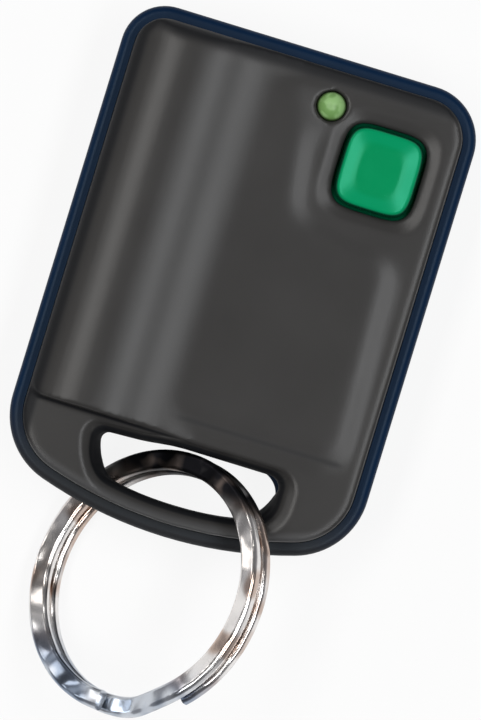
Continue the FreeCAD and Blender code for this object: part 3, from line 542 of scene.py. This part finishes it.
def plateau_outline(grow, fade):
    """The plateau's outline, grown by grow, and at its top by fade as well."""
    top = CASE_LENGTH / 2
    corners = [
        (-12.0, -14.0 - 2 * grow, 0.1),
        (15.2 + grow, -14.0 - 2 * grow, 2.4 + grow),
        (14.4 + grow, 7.2 + grow, 2.4 + grow),
        (3.4 + grow, 9.0 + grow, 3.2 - grow),
        (2.2 + grow, 17.0, 8.0),
        (1.6 + grow + fade, top, 0.1),
        (-12.0, top, 0.1),
    ]
    return rounded(corners)


plateau = loft(
    "plateau",
    (SHELF - 1.0, plateau_outline(SLOPE, FADE_OUT)),
    (SHELF, plateau_outline(SLOPE, FADE_OUT)),
    (PLATEAU, plateau_outline(-SLOPE, FADE_IN)),
)
trim = loft(
    "trim",
    (SHELF - 2.0, case_outline(COVER_INSET + 0.9)),
    (SHELF - 0.2, case_outline(COVER_INSET + 0.9)),
    (PLATEAU + 0.1, case_outline(COVER_INSET + 2.8)),
)
combine(plateau, trim, operation="INTERSECT")
print("plateau faces:", len(plateau.data.polygons))

# %% [markdown]
# ## Front shell: melt the levels together
#
# A mould maker rounds every step, so no crease may stay. We join the three bodies and let a
# voxel remesh skin them as one. A light smoothing goes over all of it, and a strong one over
# the broad faces only, so that the barrel's lower end and the outer edge stay crisp. A bevel
# could not follow edges that run into each other like these.

# %% Skin and smooth the shell
VOXEL = 0.235
BROAD_DEPTH = 0.25
BROAD_HALF = 16.0
BROAD_LOW = -15.3
BROAD_TOP = 24.0

focus(shelf)
barrel.select_set(True)
plateau.select_set(True)
bpy.ops.object.join()
shell = bpy.context.active_object
shell.name = "front_shell"
apply(shell, "REMESH", mode="VOXEL", voxel_size=VOXEL * MM)
apply(shell, "SMOOTH", factor=0.5, iterations=5)


def on_broad_faces(vertex):
    x, y, z = vertex.co / MM
    return z > SHELF - BROAD_DEPTH and abs(x) < BROAD_HALF and BROAD_LOW < y < BROAD_TOP


choose(shell, on_broad_faces)
bpy.ops.mesh.vertices_smooth(factor=0.5, repeat=30)
bpy.ops.object.mode_set(mode="OBJECT")
print("shell faces after its first skin:", len(shell.data.polygons))

# %% [markdown]
# ## Front shell: the key slot
#
# The slot's top side is nearly straight, and its lower side follows the loop's bar. At the sides
# and below, the shell rolls over in a broad lip, which makes the soft ridge of light beside the
# slot. So two cutters make it: a nearly straight one, and one that flares towards the top. The
# left third of the slot's top side sits about half a millimetre lower, where the swinging ring
# leaves room, and its left side slants. The side walls lean inwards as they go down, so a black
# wedge of wall shows in both lower corners.

# %% Make the slot's cutters
SLOT_HALF = 9.9
SLOT_TOP = -16.9
CORNER = 1.3
LOW_LEFT_RADIUS = 3.1
LOW_RIGHT_RADIUS = 2.6
BAR_WIDTH = 3.4
TOP_DIPS = [(6.0, 0.0), (-0.6, 0.0), (-1.8, 0.06), (-3.0, 0.2), (-4.2, 0.36), (-5.4, 0.46)]
LEFT_DIP = 0.6
LEFT_LEAN = (-15.5, 6)
RIGHT_LEAN = (-18.3, 3)
LIP_TOP = 0.85


def bow_corner(half, bow, radius):
    """The centre of a lower corner, and the angle at which it meets the bow."""
    x = half - radius
    y = BOW_Y - math.sqrt((bow - radius) ** 2 - x**2)
    return x, y, math.atan2(y - BOW_Y, x)


def slot_outline(grow, left=0.0, right=0.0):
    """The slot, grown by grow, with its side walls moved in by left and right."""
    half = SLOT_HALF + grow
    bow = BOW_RADIUS - BAR_WIDTH + grow
    corner = CORNER + 0.5 * grow
    top = SLOT_TOP + min(grow, LIP_TOP)
    left_radius = LOW_LEFT_RADIUS + grow
    right_radius = LOW_RIGHT_RADIUS + grow
    left_x, left_y, left_turn = bow_corner(half, bow, left_radius)
    right_x, right_y, right_turn = bow_corner(half, bow, right_radius)
    points = arc(half - corner, top - corner, corner, 0, math.pi / 2, 10)
    points += [(x, top - dip) for x, dip in TOP_DIPS]
    points += arc(corner - half, top - LEFT_DIP - corner, corner, math.pi / 2, math.pi, 10)
    points += arc(-left_x, left_y, left_radius, -math.pi, -math.pi - left_turn, 10)
    points += arc(0, BOW_Y, bow, -math.pi - left_turn, right_turn, 24)[1:-1]
    points += arc(right_x, right_y, right_radius, right_turn, 0, 10)
    leaning = []
    for x, y in points:
        if x < 0:
            reach = left * (LEFT_LEAN[0] - y) / LEFT_LEAN[1]
        else:
            reach = right * max(0.0, (RIGHT_LEAN[0] - y) / RIGHT_LEAN[1])
        leaning.append((x - reach * (x / half) ** 3, y))
    return leaning


slot = loft(
    "slot",
    (SEAM - 1.0, slot_outline(0.0, 1.9, 1.4)),
    (SEAM + 1.0, slot_outline(0.0, 1.7, 1.2)),
    (SHELF - 1.6, slot_outline(0.0, 0.8, 0.3)),
    (SHELF - 0.8, slot_outline(0.0, 0.5)),
    (CREST + 2.0, slot_outline(0.0, 0.5)),
)
lip = loft(
    "lip",
    (SHELF - 1.9, slot_outline(-0.2, 0.6)),
    (SHELF - 0.9, slot_outline(0.25, 0.7)),
    (SHELF - 0.4, slot_outline(0.8, 1.0)),
    (SHELF + 0.05, slot_outline(2.1, 1.6)),
    (SHELF + 0.5, slot_outline(2.2, 1.6)),
)
print("slot cutters:", slot.name, lip.name)

# %% [markdown]
# ## Front shell: button well and lamp hole
#
# The button sits in a shallow dish, whose slopes show as dull bands left and right of it. The
# button's outline is a superellipse: a square whose sides bulge and whose corners are round.
# One function draws it, so the well and the dish keep an even gap to the button.

# %% Make the cutters for the button and the lamp
BUTTON = (10.2, 16.0)
BUTTON_HALF = (4.05, 4.2)
BUTTON_STEPS = 56
SQUARENESS = 4.4
WELL_GAP = 0.3
LAMP = (3.6, 21.0)
LAMP_HOLE_RADIUS = 1.57


def button_outline(grow):
    """The button's outline, grown by grow."""
    points = []
    for turn in (2 * math.pi * step / BUTTON_STEPS for step in range(BUTTON_STEPS)):
        reach_x = abs(math.cos(turn)) ** (2 / SQUARENESS) * (BUTTON_HALF[0] + grow)
        reach_y = abs(math.sin(turn)) ** (2 / SQUARENESS) * (BUTTON_HALF[1] + grow)
        x = BUTTON[0] + math.copysign(reach_x, math.cos(turn))
        y = BUTTON[1] + math.copysign(reach_y, math.sin(turn))
        points.append((x, y))
    return points


well = plate("well", button_outline(WELL_GAP), SEAM - STAND_OUT, CREST)
dish = loft(
    "dish",
    (SHELF - 0.75, button_outline(0.2)),
    (SHELF - 0.32, button_outline(0.4)),
    (SHELF, button_outline(1.65)),
    (SHELF + 0.4, button_outline(1.8)),
)
lamp_hole = plate("lamp_hole", disc(LAMP, LAMP_HOLE_RADIUS), SEAM - STAND_OUT, CREST)
print("well cutters:", well.name, dish.name, lamp_hole.name)

# %% [markdown]
# ## Front shell: inside
#
# Inside, the shell is hollow above the slot, with a round pocket for the battery. Two bosses
# take the case screws, and two thin posts hold the circuit board down. They are joined on
# before the second skin, which rounds their feet as a mould would.

# %% Hollow the shell and add its bosses
WALL = 1.25
CEILING = SHELF - WALL
PARTITION = -13.95
POCKET = (-10.9, 6.75)
POCKET_RADIUS = 5.5
POCKET_END = -13.25
POCKET_LENGTH = 32.5
SCREWS = [(-11.6, 21.5), (13.1, -12.6)]
BOSS_RADIUS = 2.1
BORE_RADIUS = 0.97
BORE_ENDS = (2.0, 9.1)
BOSS_FOOT = 3.25
POSTS = [(-2.0, 21.1), (14.1, -1.6)]
POST_RADIUS = 1.0
POST_FOOT = 3.45
ROOT = 0.5

hollow = plate("hollow", case_outline(COVER_INSET + WALL), SEAM - 3, CEILING)
above_slot = [(-FAR, PARTITION), (FAR, PARTITION), (FAR, FAR), (-FAR, FAR)]
room = plate("room", above_slot, SEAM - 4, CREST)
combine(hollow, room, operation="INTERSECT")
section = [(x, POCKET_END, z) for x, z in disc(POCKET, POCKET_RADIUS, 48)]
pocket = prism("pocket", section, (0, POCKET_LENGTH, 0))
combine(shell, slot, lip, well, dish, lamp_hole, hollow, pocket)
for number, place in enumerate(SCREWS):
    boss = plate(f"boss_{number}", disc(place, BOSS_RADIUS), BOSS_FOOT, CEILING + ROOT)
    combine(shell, boss, operation="UNION")
    combine(shell, plate(f"bore_{number}", disc(place, BORE_RADIUS), *BORE_ENDS))
for number, place in enumerate(POSTS):
    post = plate(f"post_{number}", disc(place, POST_RADIUS), POST_FOOT, CEILING + ROOT)
    combine(shell, post, operation="UNION")
apply(shell, "REMESH", mode="VOXEL", voxel_size=VOXEL * MM)
apply(shell, "SMOOTH", factor=0.5, iterations=3)
focus(shell)
bpy.ops.object.shade_smooth()
print("shell triangles:", triangles(shell))
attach(shell, "case")
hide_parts("front_cover")

# %% [markdown]
# ## The push button
#
# The button is a cushion with bulged sides. Its flat top is rounder than its outline, so the slope
# around it is widest at the corners. That gives the lighter frame of the photograph, which
# broadens at its corners. Under the shell a flange keeps the button from falling out, and a
# post reaches down to the switch. All of it is one loft, which a subdivision surface smooths. A
# bevelled box would show an even frame.

# %% Model the button
BUTTON_TOP = 12.3
FLAT_SHARE = 0.54
FLAT_CUT = 0.03


def flat_top(share):
    """The outline of the flat top, scaled by share."""
    points = []
    for x, y in button_outline(0.0):
        across = (x - BUTTON[0]) / BUTTON_HALF[0]
        along = (y - BUTTON[1]) / BUTTON_HALF[1]
        reach_x = BUTTON_HALF[0] * (FLAT_SHARE - FLAT_CUT * along**2) * share
        reach_y = BUTTON_HALF[1] * (FLAT_SHARE - FLAT_CUT * across**2) * share
        points.append((BUTTON[0] + across * reach_x, BUTTON[1] + along * reach_y))
    return points


button = loft(
    "button",
    (7.75, disc(BUTTON, 1.5, BUTTON_STEPS)),
    (7.95, disc(BUTTON, 1.7, BUTTON_STEPS)),
    (8.7, disc(BUTTON, 1.7, BUTTON_STEPS)),
    (8.8, disc(BUTTON, 1.9, BUTTON_STEPS)),
    (8.81, button_outline(0.95)),
    (8.95, button_outline(1.05)),
    (9.7, button_outline(1.05)),
    (9.79, button_outline(0.95)),
    (9.8, button_outline(0.05)),
    (9.95, button_outline(0.0)),
    (11.45, button_outline(-0.05)),
    (11.78, button_outline(-0.16)),
    (11.97, button_outline(-0.36)),
    (BUTTON_TOP - 0.29, button_outline(-0.56)),
    (BUTTON_TOP - 0.03, flat_top(1.06)),
    (BUTTON_TOP, flat_top(0.92)),
    (BUTTON_TOP - 0.02, flat_top(0.5)),
    (BUTTON_TOP - 0.03, flat_top(0.2)),
)
apply(button, "SUBSURF", levels=2, render_levels=2)
focus(button)
bpy.ops.object.shade_smooth()
print("button triangles:", triangles(button))
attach(button, "button")
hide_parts("button_cap")

# %% [markdown]
# ## The snap dome
#
# Under the button's plunger stands a thin steel dome, 0.7 mm high. When it is pressed it gives
# way by a quarter of a millimetre with a click, and closes the circuit. It is a lofted cap of a
# sphere, hollowed by a smaller cap.

# %% Model the snap dome
DOME_FLOOR = 4.3
DOME_RISE = 0.7
DOME_RADIUS = 1.9
DOME_WALL = 0.1
DOME_LEVELS = 12
HAIR = 0.001


def cap(name, wall, depth):
    """A cap of the dome's sphere, drawn in by wall and reaching depth below the floor."""
    ball = (DOME_RADIUS**2 + DOME_RISE**2) / (2 * DOME_RISE)
    top = DOME_RISE - wall - HAIR
    levels = []
    for step in range(DOME_LEVELS + 1):
        height = -depth + (top + depth) * math.sin(step / DOME_LEVELS * math.pi / 2)
        radius = math.sqrt((ball - wall) ** 2 - (height + ball - DOME_RISE) ** 2)
        levels.append((DOME_FLOOR + height, disc(BUTTON, radius, 48)))
    return loft(name, *levels)


dome = combine(cap("snap_dome", 0.0, 0.0), cap("dome_room", DOME_WALL, 0.1))
focus(dome)
bpy.ops.object.shade_smooth_by_angle(angle=math.radians(40))
print("dome triangles:", triangles(dome))
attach(dome, "case")
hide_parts("switch_dome")
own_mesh(dome)

# %% [markdown]
# ## Finish: grey shell
#
# The shell is a satin moulding in a warm dark grey with a fine spark-eroded grain. A slow change
# of roughness keeps its highlights from looking printed. The steep walls of the slot, the well
# and the seam get painted shade: their colour is near black, and they are matt. They are found
# by their height, and the barrel's lower end, which gets painted shade as well, by its place.
# Painted shade also darkens the outer edge at the left and at the top, and a little the crease
# at the plateau's lower end. A painted highlight lightens the loop's bar.

# %% Finish the shell
BAR_EDGES = (42.3, 43.1)

grey = Finish("shell_grey")
x, y, z = (grey.along(axis) for axis in "XYZ")
grain = grey.noise(0.18, 3.0, 0.6)
cloud = grey.noise(9.0)
# Painted shade: the steep walls of the slot, the well and the seam, found by their height.
wall = 1 - z.span(SHELF - 0.75, SHELF - 0.4)
# Painted shade on the barrel's lower end wall, found by its place.
below = 1 - y.span(BARREL_LOW_END - 0.15, BARREL_LOW_END + 0.1)
barrel_end_shade = below * z.span(SHELF, SHELF + 0.2)
# Painted shade along the shell's outer edge at the left and at the top.
left_edge_shade = 1 - x.span(-16.9, -15.6)
top_edge_shade = y.span(22.3, 24.3)
# Painted shade in the crease at the plateau's lower end.
crease = y.span(-14.6, -13.9) - y.span(-13.9, -13.2)
crease = crease * x.span(-4.0, -1.0) * x.span(16.5, 14.5) * 0.55
# All painted shade of the shell as one mask; it also makes those places matt.
painted_shade = (wall + barrel_end_shade + left_edge_shade + top_edge_shade + crease).span(0.0, 1.0)
satin = grey.mix(cloud, (0.029, 0.0278, 0.0270), (0.036, 0.0348, 0.034))
# Painted highlight on the loop's bar, found by its distance from the bow's centre.
from_bow = {0: grey.place, 1: (0.0, BOW_Y * MM, SHELF * MM)}
radius = grey.node("ShaderNodeVectorMath", {"operation": "DISTANCE"}, from_bow, "Value")
painted_bar_highlight = (radius * (1 / MM)).span(*BAR_EDGES)
satin = grey.mix(painted_bar_highlight, satin, (0.058, 0.058, 0.059))
# The base colour is the satin grey, lightened on the bar by painted highlight and darkened to near
# black by painted shade.
grey.set(
    Base_Color=grey.mix(painted_shade, satin, (0.005, 0.0055, 0.007)),
    Roughness=0.26 + cloud * 0.06 + grain * 0.05 + painted_shade * 0.3,
    Specular_IOR_Level=0.27,
    Normal=grey.bump(grain, 0.006),
)
paint(shell, grey.material)
print("finished:", shell.name)

# %% [markdown]
# ## Finish: navy tub
#
# The rear half is nearly black, and only its blue tint, in its gloss too, tells it from the
# shell. It is a little duller, because hands rub it. Towards the loop it turns a neutral dark
# grey.

# %% Finish the tub
navy = Finish("tub_navy")
grain = navy.noise(0.2, 3.0, 0.6)
cloud = navy.noise(7.0)
# The tub turns from navy to a neutral dark grey towards the bottom, at the loop.
grey_towards_loop = 1 - navy.along("Y").span(-24.5, -15.0)
blue = navy.mix(cloud, (0.0012, 0.011, 0.036), (0.0018, 0.016, 0.050))
navy.set(
    Base_Color=navy.mix(grey_towards_loop, blue, (0.024, 0.024, 0.026)),
    Roughness=0.36 + cloud * 0.05 + grain * 0.05,
    Specular_IOR_Level=0.17,
    Specular_Tint=(0.70, 0.88, 1.0),
    Normal=navy.bump(grain, 0.006),
)
paint(nodes["rear_cover"], navy.material)
print("finished: rear_cover")

# %% [markdown]
# ## Finish: green button and lamp
#
# The button is bright green plastic whose gloss looks green as well, so its specular tint is
# green. The slopes of its cushion get a painted highlight, a lighter green than its flat top,
# and its sides down in the well get painted shade. The lamp is a moulded lens of milky green
# resin with lighter clouds, which are partly painted highlight, and painted shade round its foot.

# %% Finish the button
green = Finish("button_green")
level = green.along("Z")
# Painted highlight: the cushion's slopes are a lighter green than its flat top.
painted_frame_highlight = 1 - level.span(BUTTON_TOP - 0.16, BUTTON_TOP - 0.03)
# Painted shade on the button's sides down in the well.
well_shade = 1 - level.span(BUTTON_TOP - 0.6, BUTTON_TOP - 0.36)
flat = green.mix(green.noise(2.0), (0.0, 0.245, 0.082), (0.0, 0.265, 0.090))
cushion = green.mix(painted_frame_highlight, flat, (0.001, 0.285, 0.110))
green.set(
    Base_Color=green.mix(well_shade, cushion, (0.0, 0.075, 0.032)),
    Roughness=0.23 + green.noise(0.5) * 0.06,
    Specular_Tint=(0.17, 0.85, 0.62),
)
paint(button, green.material)
print("finished:", button.name)

# %% Finish the lamp
resin = Finish("lamp_resin")
# Lighter clouds of milky resin, which also stand in for the lens's soft highlight: partly painted
# highlight.
milk_and_painted_highlight = resin.noise(1.1, 1.0).span(0.40, 0.62)
# Painted shade round the lamp's foot, where it sits in its hole.
foot_shade = 1 - resin.along("Z").span(SHELF - 0.1, SHELF + 0.35)
lens = resin.mix(milk_and_painted_highlight, (0.165, 0.33, 0.095), (0.27, 0.48, 0.18))
resin.set(
    Base_Color=resin.mix(foot_shade, lens, (0.055, 0.11, 0.030)),
    Roughness=0.40 + milk_and_painted_highlight * 0.08,
)
paint(nodes["indicator_led"], resin.material)
print("finished: indicator_led")

# %% [markdown]
# ## Finish: key ring
#
# The ring is nickel-plated spring wire. Its colour holds painted reflections: silver in most
# places, brownish in others and bluish towards its bottom, and shallow dents break its
# reflections into patches. In the slot the ring gets painted shade, nearly black, with a few
# streaks of plain plating left.

# %% Finish the ring
nickel = Finish("ring_nickel")
smear = nickel.noise(3.5, 1.0, 0.4)
# Painted reflection: brownish patches among the silver, turning bluish towards the ring's bottom.
painted_blue_below = nickel.along("Y").span(-36.0, -42.0)
painted_reflection_tone = nickel.mix(painted_blue_below, (0.64, 0.51, 0.44), (0.30, 0.36, 0.46))
bright = nickel.mix(painted_blue_below, (0.95, 0.92, 0.90), (0.66, 0.70, 0.76))
plating_and_painted_reflections = nickel.mix(smear.span(0.38, 0.56), painted_reflection_tone, bright)
streak = nickel.noise(2.2, 1.0, 0.4).span(0.50, 0.75)
# Painted shade: nearly black where the ring passes through the slot, broken by streaks.
painted_slot_shade = nickel.along("Y").span(-23.5, -19.5) * (1 - streak * 0.35)
nickel.set(
    Base_Color=nickel.mix(painted_slot_shade, plating_and_painted_reflections, (0.022, 0.022, 0.026)),
    Metallic=1.0,
    Roughness=0.12 + smear * 0.18 + painted_slot_shade * 0.2,
    Normal=nickel.bump(nickel.noise(4.2, 1.0, 0.4), 1.1),
)
paint(nodes["key_ring"], nickel.material)
print("finished: key_ring")

# %% [markdown]
# ## Finishes inside the case
#
# What is inside shows only when the case is opened, but each piece has its own finish. One
# recipe serves them all: two close colours mixed by noise, a roughness that follows the noise,
# and a shallow bump. A table gives the recipe's sizes for each piece.

# %% Finish the pieces inside
TINNED = ((0.66, 0.66, 0.65), (0.78, 0.78, 0.77), 1.0, 0.30, 0.4)
STEEL = ((0.56, 0.56, 0.55), (0.70, 0.70, 0.68), 1.0, 0.26, 1.2)
BRONZE = ((0.66, 0.48, 0.26), (0.76, 0.58, 0.34), 1.0, 0.28, 0.9)
BLACK = ((0.010, 0.010, 0.011), (0.018, 0.018, 0.019), 0.0, 0.48, 0.25)
INSIDE = {
    "circuit_board": ((0.01, 0.12, 0.05), (0.02, 0.17, 0.07), 0.0, 0.35, 0.6),
    "switch_base": BLACK,
    "encoder_chip": BLACK,
    "transistor": BLACK,
    "switch_cover": STEEL,
    "switch_plunger": ((0.55, 0.53, 0.48), (0.65, 0.63, 0.58), 0.0, 0.40, 0.4),
    "switch_dome": STEEL,
    "switch_terminals": TINNED,
    "led_leads": TINNED,
    "encoder_leads": TINNED,
    "resonator_leads": TINNED,
    "transistor_leads": TINNED,
    "resonator_can": STEEL,
    "battery_can": STEEL,
    "battery_cap": STEEL,
    "battery_sleeve": ((0.05, 0.055, 0.07), (0.07, 0.075, 0.09), 0.0, 0.30, 1.5),
    "positive_contact": BRONZE,
    "negative_contact": BRONZE,
    "chip_resistors": ((0.015, 0.015, 0.016), (0.028, 0.028, 0.030), 0.0, 0.42, 0.3),
    "chip_capacitors": ((0.38, 0.27, 0.16), (0.46, 0.34, 0.21), 0.0, 0.45, 0.3),
    "antenna_loop": ((0.70, 0.34, 0.20), (0.82, 0.44, 0.28), 1.0, 0.30, 0.8),
    "case_screws": STEEL,
}
within = {**nodes, "switch_dome": dome}
for name, (low, high, metallic, roughness, size) in INSIDE.items():
    inside = Finish(f"finish_{name}")
    cloud = inside.noise(size, 3.0, 0.6)
    inside.set(
        Base_Color=inside.mix(cloud, low, high),
        Metallic=metallic,
        Roughness=roughness + cloud * 0.15,
        Normal=inside.bump(cloud, 0.01 * size),
    )
    paint(within[name], inside.material)
print("finished inside:", len(INSIDE), "pieces")
